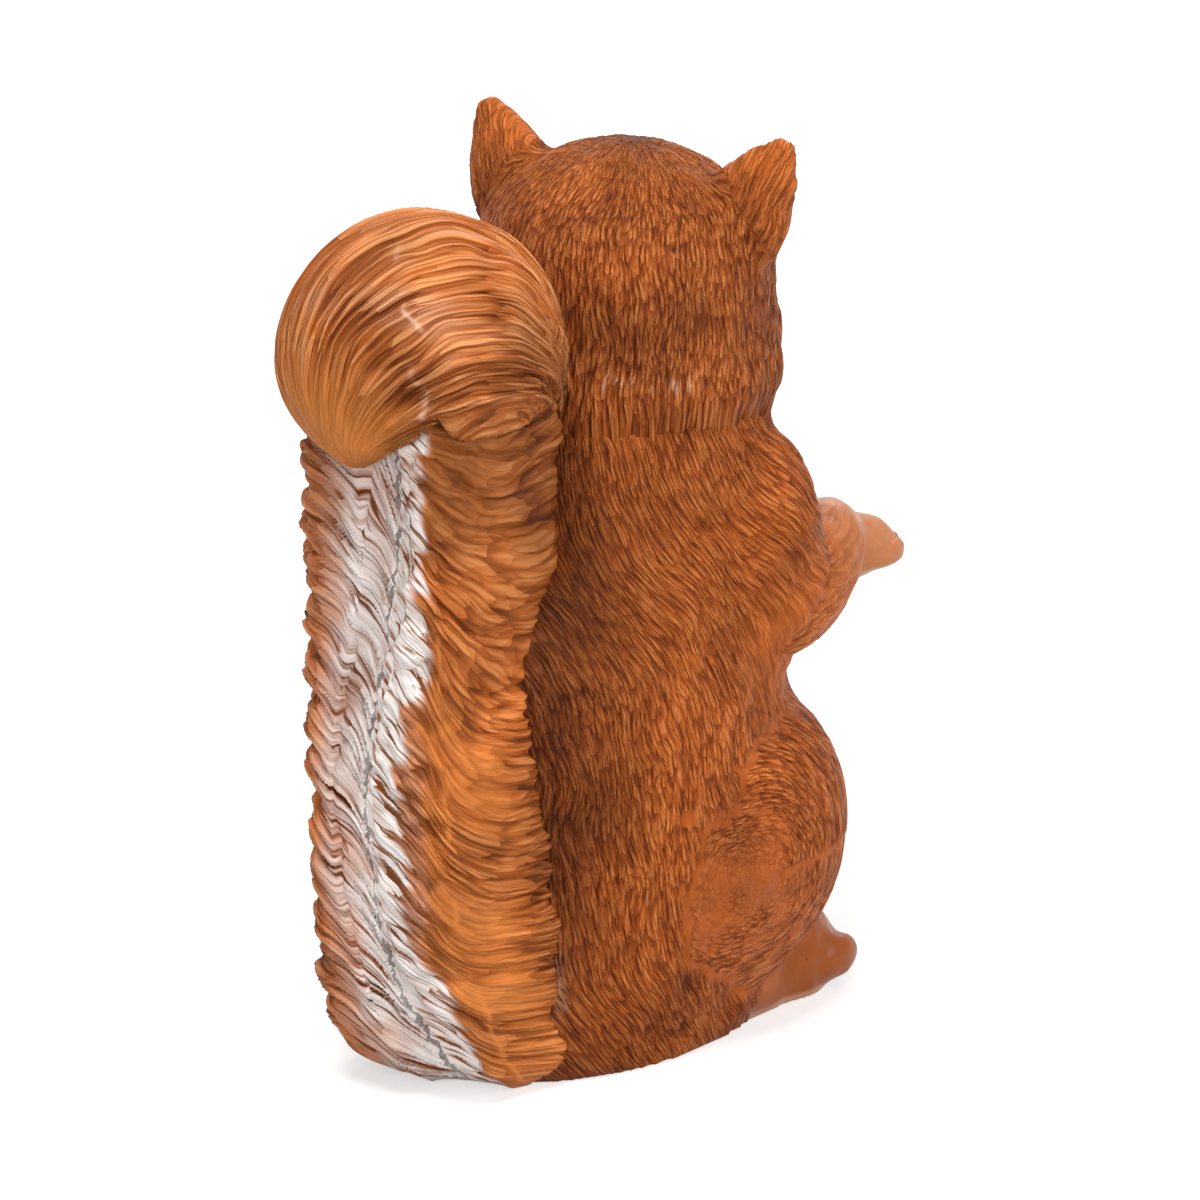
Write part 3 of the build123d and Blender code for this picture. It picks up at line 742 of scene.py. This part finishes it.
in_front = ramp(-hy, 33, 38) * (1 - ramp(np.abs(hx), 7, 10))
mouth = np.exp(-((hz - lip) / 0.7) ** 2) * in_front
philtrum = np.exp(-(hx / 0.6) ** 2) * ramp(-hy, 38, 42) * ramp(hz, 7, 8) * (1 - ramp(hz, 11, 13))
pad = 1 - ramp(np.linalg.norm((local - NOSE_PAD) / NOSE_PAD_HALF, axis=1), 0.75, 1.05)
hollow_ear = on_ear * ramp(outward @ np.array((math.sin(HEAD_TURN), -math.cos(HEAD_TURN), 0)), 0.2, 0.5)
pinhole = np.exp(-(np.linalg.norm(places - HEAD_PINHOLE, axis=1) / 0.7) ** 2)
hair = np.clip(0.8 - 0.5 * stroke + 0.35 * (lock - 0.6), 0, 1)
grip = (1 - bare) * (1 - 0.5 * hollow_ear) * (0.35 + 0.65 * ramp(hz, 0, 5))
crest = np.exp(-(np.hypot(hx - crown_x, hy - crown_y) / 4) ** 2) * ramp(hz, 40, 50)
relief = grip * (1 - 0.8 * crest) * (0.45 * (0.4 - stroke) + 0.28 * (lock - 0.6) + 0.25 * (clump - 0.6))
relief = relief + 1.1 * lid - 1.3 * nostril - 0.9 * mouth - 0.7 * philtrum + 0.5 * pad - 0.8 * pinhole
fleck = np.exp(-((hz - 9.5 - 1.5 * drift(places / 9, 70)) / 1.6) ** 2) * ramp(hy, 5, 15)
fleck = fleck * ramp(drift(np.stack([across / 0.6, along / 2.4], 1), 69), 0.2, 0.6)
fleck = fleck * ramp(drift(places / 9, 71), -0.2, 0.3)
cheek = np.maximum(1 - ramp(to_nose, 10, 22), 0) * ramp(18 - hz, -2, 6)
throat = ramp(-hy, 12, 26) * ramp(12 - hz, 0, 8)
eye_ring = np.exp(-((to_eye - EYE_RING_RADIUS) / 1.6) ** 2)
dark = np.clip(pad + 0.8 * nostril + mouth + philtrum, 0, 1)
ear_root_shade = np.exp(-((off_skull - 1.06) / 0.05) ** 2) * ramp(up_ear, 0, 5)
# Painted light and shade: lighter on the top of the head, darker round the middle of its height, in the
# hollows of the ears, in the groove at the ear roots and low down by the neck, and lighter again on the
# lip at the neck seam. The shade mark also carries the dark nose, mouth and pinhole, and random tone.
shade = 1.0 + 0.16 * ramp(hz, 36, 54) - 0.2 * np.exp(-((hz - 20) / 14) ** 2)
shade = shade - 0.82 * dark - 0.18 * hollow_ear - 0.22 * ear_root_shade * ramp(hy, -8, 0) - 0.8 * pinhole
shade = shade + 0.1 * drift(places / 12, 72)
shade = shade - 0.08 * (1 - ramp(hz, 4, 12)) + 0.08 * (1 - ramp(hz, 0, 2.5))
combings_meet = np.maximum(
    1 - ramp(np.abs(to_face - FACE_REACH), 0.5, 2.5), 1 - ramp(np.abs(on_ear - 0.5), 0.05, 0.2)
)
frost = np.clip(1.3 * np.maximum(cheek, throat) + 0.8 * eye_ring + 0.4 * fleck, 0, 1.6) * (1 - dark)
from_neck = np.hypot(turned[:, 0], turned[:, 1])
rim = ramp(from_neck, NECK_RADIUS - 2.2, NECK_RADIUS - 0.8) * (1 - ramp(hz, 0.4, 2.6))
places[:, 2] = places[:, 2] - rim * (2.0 + 2.0 * wobble(across / 1.1, 73))
carve(
    head, places, outward, relief + 0.06 * rim,
    flow=np.stack([across, along, 0 * along], 1), hair=hair, worn=0.8 * bare,
    rubbed=combings_meet, shade=shade, frost=frost,
    # The glow on the top of the head is painted light; the ears take the same glow colour.
    glow=0.45 * on_ear + 0.3 * ramp(hz, 44, 54),
)
paint_over(head, fur_paint(
    "rust_head_paint", cut=(90, 37, 10), body=(153, 73, 20), crest=(200, 119, 60),
    glow=(184, 97, 38), frost=(226, 196, 168), hair_width=0.7, hair_length=4.4,
))

# Eyes: black glass cabochons on a short wire shank, pressed into drilled sockets with a drop of glue.
# The deep brown glass only shows at the edge, where light goes through it.
def eye_glass():
    paint = bpy.data.materials.new("black_eye_glass")
    paint.use_nodes = True
    tree = paint.node_tree
    shader = tree.nodes["Principled BSDF"]
    place = tree.nodes.new("ShaderNodeTexCoord")
    swirl = tree.nodes.new("ShaderNodeTexNoise")
    swirl.inputs["Scale"].default_value = 260.0
    swirl.inputs["Detail"].default_value = 2.0
    tree.links.new(place.outputs["Object"], swirl.inputs["Vector"])
    tones = tree.nodes.new("ShaderNodeValToRGB")
    tones.color_ramp.elements[0].color = paint_colour(10, 7, 6)
    tones.color_ramp.elements[1].color = paint_colour(46, 26, 16)
    tree.links.new(swirl.outputs["Fac"], tones.inputs[0])
    tree.links.new(tones.outputs["Color"], shader.inputs["Base Color"])
    shader.inputs["Roughness"].default_value = 0.06
    shader.inputs["Specular IOR Level"].default_value = 0.25
    return paint


glass = eye_glass()
for eye in ("left_eye", "right_eye"):
    paint_over(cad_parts[eye], glass)

# Forearms: resin castings glued to the upper arms over a dowel, with short hair combed towards the
# wrist. Each paw was rubbed round in the clay, so it is smooth, and it is sprayed a paler peach. The
# finger ends are touched with brown.
FOREARM_GRAIN = 0.00034
ELBOW = np.array((33.0, -10.0, 89.5))
WRIST = np.array((20.0, -43.0, 100.0))
ELBOW_FACE_Y = -14
ELBOW_FILLER = 4.2
MITT_START_Y = -50
MITT_ROUNDS = 60
FINGER_END = 60.2

for side, sign in (("right", -1), ("left", 1)):
    forearm = casting_skin(
        f"{side}_forearm_fur", f"{side}_forearm", FOREARM_GRAIN, rounds=8,
        held=lambda p: p.y > ELBOW_FACE_Y, fills=24,
    )
    rub_down(forearm, MITT_ROUNDS, held=lambda p: p.y >= MITT_START_Y)
    places, outward = skin_points(forearm)
    bone = (WRIST - ELBOW) / np.linalg.norm(WRIST - ELBOW)
    x, y, z = places.T
    clay = 1.2 * ramp(-y, 42, 52) * (1 - ramp(z, 88, 95))
    clay = clay + 2.0 * ramp(-y, 53, 58) * ramp(z, 90.5, 92) * (1 - ramp(z, 93, 97.5))
    places[:, 1] = y - 1.2 * ramp(-y, 50, 58)
    places[:, 2] = z + clay - 2.6 * ramp(-y, 43, 58) * ramp(z, 94, 100)
    mirrored = places * (sign, 1, 1)
    reach = mirrored - ELBOW
    down_arm = reach @ bone
    level = np.cross(bone, (0, 0, 1.0))
    level = level / np.linalg.norm(level)
    across = 9 * np.arctan2(reach @ level, reach @ np.cross(level, bone))
    across = across + 1.2 * drift(places / 7, 81) + 0.5 * drift(places / 3, 82)
    along = down_arm + 1.5 * drift(places / 6, 83)
    stroke = cuts(across / 2.2, along / 8, 84)
    lock = hairs(across / 1.8, along / 8, 85)
    paw = ramp(down_arm + 2 * drift(places / 4, 86), 27, 38)
    hair = np.clip(0.8 - 0.5 * stroke + 0.35 * (lock - 0.6), 0, 1) * (1 - paw) + 0.7 * paw
    fading = ramp(down_arm + 3 * drift(places / 5, 88), 4, 30)
    relief = (1 - paw) * (0.4 * (0.4 - stroke) + 0.25 * (lock - 0.6))
    relief = relief + 0.15 * paw * drift(places / 2.5, 87)
    outer_side = ramp(outward @ (sign * level), -0.3, 0.2)
    relief = relief + 2.0 * putty(places, "body_shell", ELBOW_FILLER) * outer_side
    claw = ramp(-mirrored[:, 1], FINGER_END, FINGER_END + 1.4)
    carve(
        forearm, places, outward, relief,
        flow=np.stack([across, along, 0 * along], 1), hair=hair, worn=0.85 * paw,
        rubbed=0.3 + 0.6 * fading, shade=1.0 + 0.06 * fading - 0.4 * claw,
        frost=0 * paw, glow=np.maximum(0.95 * paw, 0.05 + 0.5 * fading),
    )
    paint_over(forearm, fur_paint(
        f"peach_{side}_forearm_paint", cut=(104, 46, 14), body=(166, 84, 28), crest=(204, 122, 62),
        glow=(188, 118, 74), frost=(226, 206, 196), hair_width=0.75, hair_length=4.0,
    ))

# Hind feet: smooth resin castings glued against the haunches over a dowel and ground flat on the sole.
# They are sprayed brown with a glossy varnish; the toes are parted by cuts and their claws are dark.
FOOT_GRAIN = 0.00034
TOE_END = -41.0
TOE_RISE = 0.22
HEEL_DRAWN_IN = 3.0
SOLE_HEIGHT = 1
HAUNCH_FILLER = 2.2

for side in ("right", "left"):
    foot = casting_skin(
        f"{side}_foot_cast", f"{side}_foot", FOOT_GRAIN, rounds=8,
        held=lambda p: p.z < SOLE_HEIGHT, fills=10,
    )
    places, outward = skin_points(foot)
    x, y, z = places.T
    places[:, 0] = x - np.sign(x) * HEEL_DRAWN_IN * ramp(y, -28, -16)
    places[:, 2] = z * (1 + TOE_RISE * ramp(-y, 22, 32))
    across = x + 0.8 * drift(places / 6, 91)
    along = y + 1.0 * drift(places / 5, 92)
    stroke = cuts(across / 2.4, along / 9, 93)
    furred = ramp(y, -26, -14) * ramp(z, 3, 8)
    claw = 1 - ramp(y + 0.8 * drift(places / 2, 94), TOE_END, TOE_END + 2)
    sole_edge = (1 - ramp(z + 0.5 * drift(places / 4, 97), 0.8, 2.2)) * ramp(outward[:, 2], -0.8, -0.3)
    relief = 0.35 * furred * (0.4 - stroke) + 0.2 * drift(places / 3, 95) * ramp(z, 0.3, 2)
    relief = relief + 0.9 * putty(places, "body_shell", HAUNCH_FILLER) * ramp(z, 1, 4)
    carve(
        foot, places, outward, relief,
        flow=np.stack([across, along, 0 * along], 1),
        hair=0.62 - 0.3 * stroke * furred + 0.12 * drift(places / 5, 96),
        worn=1 - 0.4 * furred, rubbed=0 * z,
        shade=1.02 - 0.6 * claw - 0.1 * ramp(5 - z, 0, 4),
        frost=0.5 * sole_edge, glow=0.5 * (1 - furred),
    )
    paint_over(foot, fur_paint(
        f"brown_{side}_foot_paint", cut=(88, 40, 14), body=(156, 80, 32), crest=(192, 118, 66),
        glow=(168, 90, 42), frost=(224, 186, 150), hair_width=1.6, hair_length=9.0,
    ))

# Dowels: short rods cut from plain beech and left raw. They pin the castings in place while the glue
# sets, and they stay hidden in their bored holes.
def beech():
    paint = bpy.data.materials.new("plain_beech")
    paint.use_nodes = True
    tree = paint.node_tree
    shader = tree.nodes["Principled BSDF"]
    place = tree.nodes.new("ShaderNodeTexCoord")
    grain = tree.nodes.new("ShaderNodeTexWave")
    grain.inputs["Scale"].default_value = 420.0
    grain.inputs["Distortion"].default_value = 5.0
    tree.links.new(place.outputs["Object"], grain.inputs["Vector"])
    tones = tree.nodes.new("ShaderNodeValToRGB")
    tones.color_ramp.elements[0].color = paint_colour(186, 148, 100)
    tones.color_ramp.elements[1].color = paint_colour(214, 180, 134)
    tree.links.new(grain.outputs["Fac"], tones.inputs[0])
    tree.links.new(tones.outputs["Color"], shader.inputs["Base Color"])
    shader.inputs["Roughness"].default_value = 0.7
    return paint


rod_wood = beech()
for rod in ("neck_dowel", "tail_dowels", "curl_dowel", "arm_dowels", "foot_dowels"):
    paint_over(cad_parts[rod], rod_wood)

# Camera: a long lens at the photograph's angle, behind the squirrel, on its right and a little above
# it. It stands nearly a metre away, so near and far parts keep their sizes.
SIGHT_POINT = Vector((0, 0.009, 0.092))
SIGHT_TURN = math.radians(222)
SIGHT_RISE = math.radians(17)
SIGHT_RANGE = 0.95
SENSOR_WIDTH = 36.0
LENS_LENGTH = 133.95
towards_camera = Vector((
    math.sin(SIGHT_TURN) * math.cos(SIGHT_RISE),
    -math.cos(SIGHT_TURN) * math.cos(SIGHT_RISE),
    math.sin(SIGHT_RISE),
))
camera = bpy.data.objects.new("camera", bpy.data.cameras.new("camera"))
bpy.context.scene.collection.objects.link(camera)
camera.data.sensor_width = SENSOR_WIDTH
camera.data.lens = LENS_LENGTH
camera.location = SIGHT_POINT + towards_camera * SIGHT_RANGE
camera.rotation_mode = "QUATERNION"
camera.rotation_quaternion = (-towards_camera).to_track_quat("-Z", "Y")
bpy.context.scene.camera = camera

# Studio floor: a wide sheet of pale card that the squirrel stands on. It shows white to the camera,
# whiter further out, and keeps the soft shadow round the feet.
FLOOR_HALF = 3.0
FLOOR_DROP = 0.0002


def seen_by_camera(tree):
    """1 for what the camera sees, straight, in a gloss or through glass; 0 for light on other ways."""
    rays = tree.nodes.new("ShaderNodeLightPath")
    share = rays.outputs["Is Camera Ray"]
    for kind in ("Is Glossy Ray", "Is Transmission Ray"):
        larger = tree.nodes.new("ShaderNodeMath")
        larger.operation = "MAXIMUM"
        tree.links.new(share, larger.inputs[0])
        tree.links.new(rays.outputs[kind], larger.inputs[1])
        share = larger.outputs[0]
    return share


floor_form = bmesh.new()
bmesh.ops.create_grid(floor_form, x_segments=2, y_segments=2, size=FLOOR_HALF)
bmesh.ops.translate(floor_form, verts=floor_form.verts, vec=(0, 0, -FLOOR_DROP))
floor_mesh = bpy.data.meshes.new("floor")
floor_form.to_mesh(floor_mesh)
floor_form.free()
floor = bpy.data.objects.new("floor", floor_mesh)
bpy.context.scene.collection.objects.link(floor)
floor_paint = bpy.data.materials.new("studio_white")
floor_paint.use_nodes = True
card = floor_paint.node_tree
floor_shader = card.nodes["Principled BSDF"]
floor_shader.inputs["Base Color"].default_value = (0.6, 0.6, 0.6, 1)
floor_shader.inputs["Roughness"].default_value = 0.9
floor_shader.inputs["Specular IOR Level"].default_value = 0.0
floor_shader.inputs["Emission Color"].default_value = (1, 1, 1, 1)
floor_place = card.nodes.new("ShaderNodeTexCoord")
from_middle = card.nodes.new("ShaderNodeVectorMath")
from_middle.operation = "LENGTH"
card.links.new(floor_place.outputs["Object"], from_middle.inputs[0])
paling = card.nodes.new("ShaderNodeMapRange")
for name, given in (("From Min", 0.25), ("From Max", 0.8), ("To Min", 0.55), ("To Max", 1.0)):
    paling.inputs[name].default_value = given
card.links.new(from_middle.outputs["Value"], paling.inputs["Value"])
white_share = card.nodes.new("ShaderNodeMath")
white_share.operation = "MULTIPLY"
card.links.new(seen_by_camera(card), white_share.inputs[0])
card.links.new(paling.outputs[0], white_share.inputs[1])
card.links.new(white_share.outputs[0], floor_shader.inputs["Emission Strength"])
paint_over(floor, floor_paint)


# Studio light: plain round softboxes, a wide key overhead, a fill beside the camera, one on its right
# and one from the front, with a dim even light from the white walls.
def softbox(name, place, power, size):
    lamp = bpy.data.objects.new(name, bpy.data.lights.new(name, "AREA"))
    lamp.data.energy = power
    lamp.data.shape = "DISK"
    lamp.data.size = size
    lamp.location = place
    lamp.rotation_mode = "QUATERNION"
    lamp.rotation_quaternion = (SIGHT_POINT - Vector(place)).to_track_quat("-Z", "Y")
    bpy.context.scene.collection.objects.link(lamp)


softbox("key_light", place=(-0.1, 0.35, 1.35), power=12, size=0.6)
softbox("fill_light", place=(-0.75, 0.85, 0.55), power=5, size=0.6)
softbox("side_light", place=(-1.0, -0.25, 0.6), power=5, size=0.6)
softbox("front_light", place=(0.7, -1.1, 0.9), power=6, size=0.9)
studio = bpy.data.worlds.new("studio")
studio.use_nodes = True
bpy.context.scene.world = studio
air = studio.node_tree
sky = air.nodes["Background"]
sky.inputs["Color"].default_value = (1, 1, 1, 1)
level = air.nodes.new("ShaderNodeMapRange")
level.inputs["To Min"].default_value = 0.3
level.inputs["To Max"].default_value = 1.0
air.links.new(seen_by_camera(air), level.inputs["Value"])
air.links.new(level.outputs[0], sky.inputs["Strength"])
bpy.context.scene.view_settings.view_transform = "Standard"
